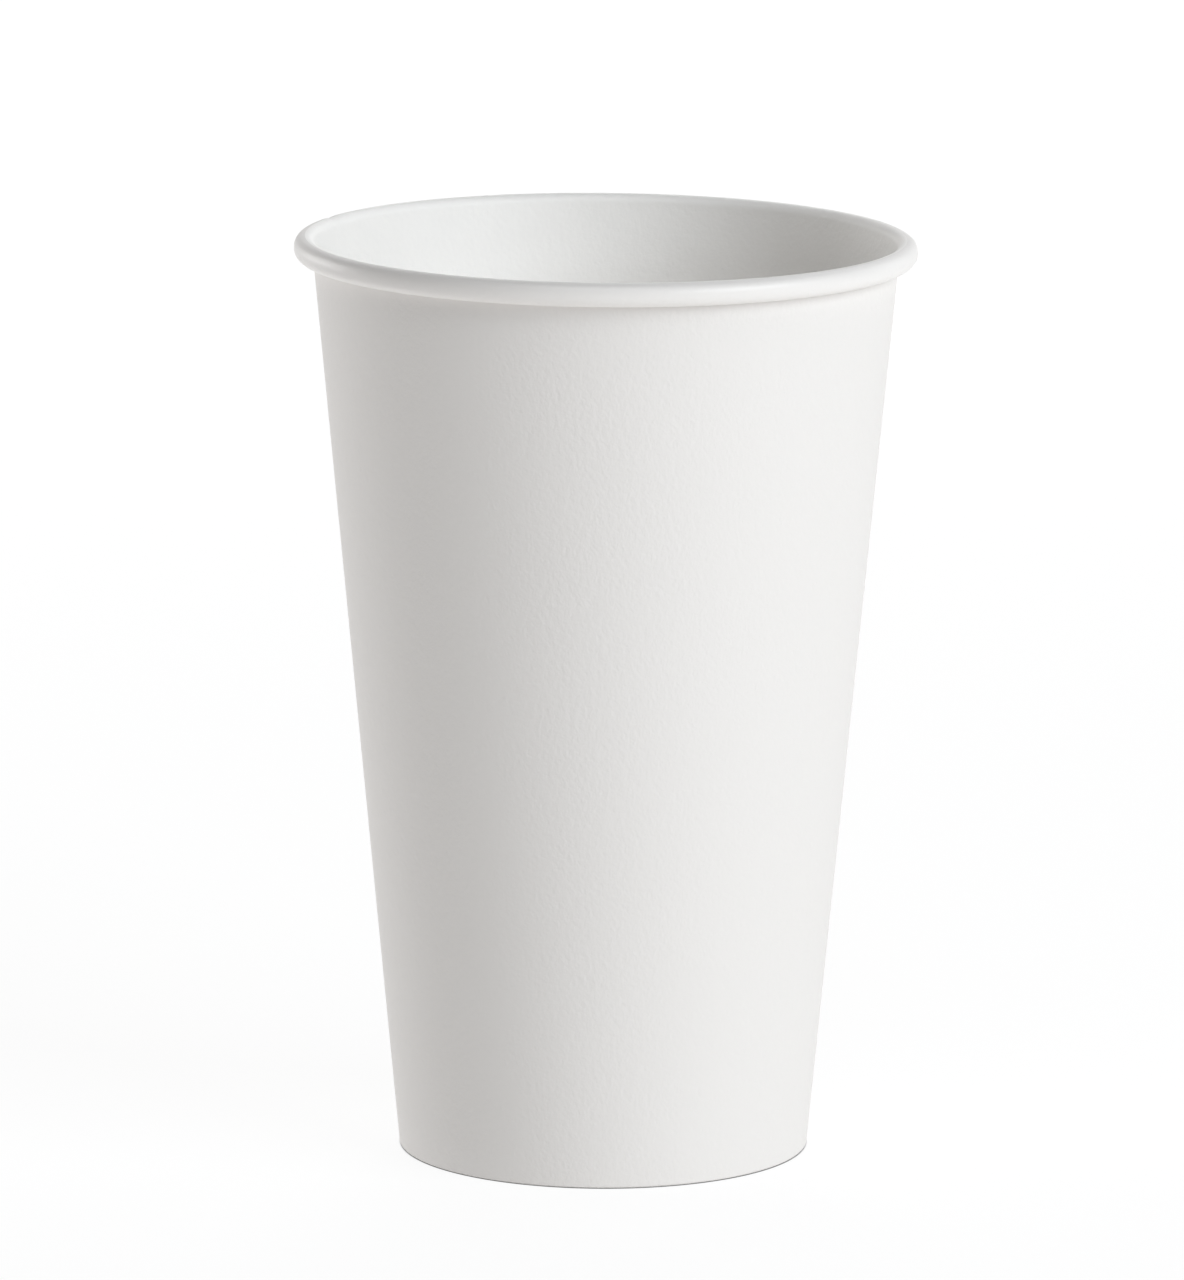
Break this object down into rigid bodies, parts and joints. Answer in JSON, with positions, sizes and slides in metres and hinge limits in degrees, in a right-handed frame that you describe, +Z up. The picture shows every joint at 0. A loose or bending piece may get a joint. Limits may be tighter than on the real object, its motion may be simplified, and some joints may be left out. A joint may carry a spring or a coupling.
{
  "type": "paper coffee cup",
  "caption": "Tall tapered single-wall paper hot cup with a rolled rim, a lapped side seam and a recessed base held in a folded foot.",
  "frame": {"origin": "centre of the foot's seat, on the surface that the cup stands on", "axes": "+Z up the cup's axis towards the open rim, front towards -Y, side seam on the left towards -X"},
  "size_m": [0.09, 0.09, 0.1342],
  "materials": {
    "wall_board": "matte white coated paperboard",
    "disc_board": "satin white coated paperboard"
  },
  "bodies": {
    "root": {"sidewall": "wall_board", "bottom_disc": "disc_board"}
  },
  "joints": []
}
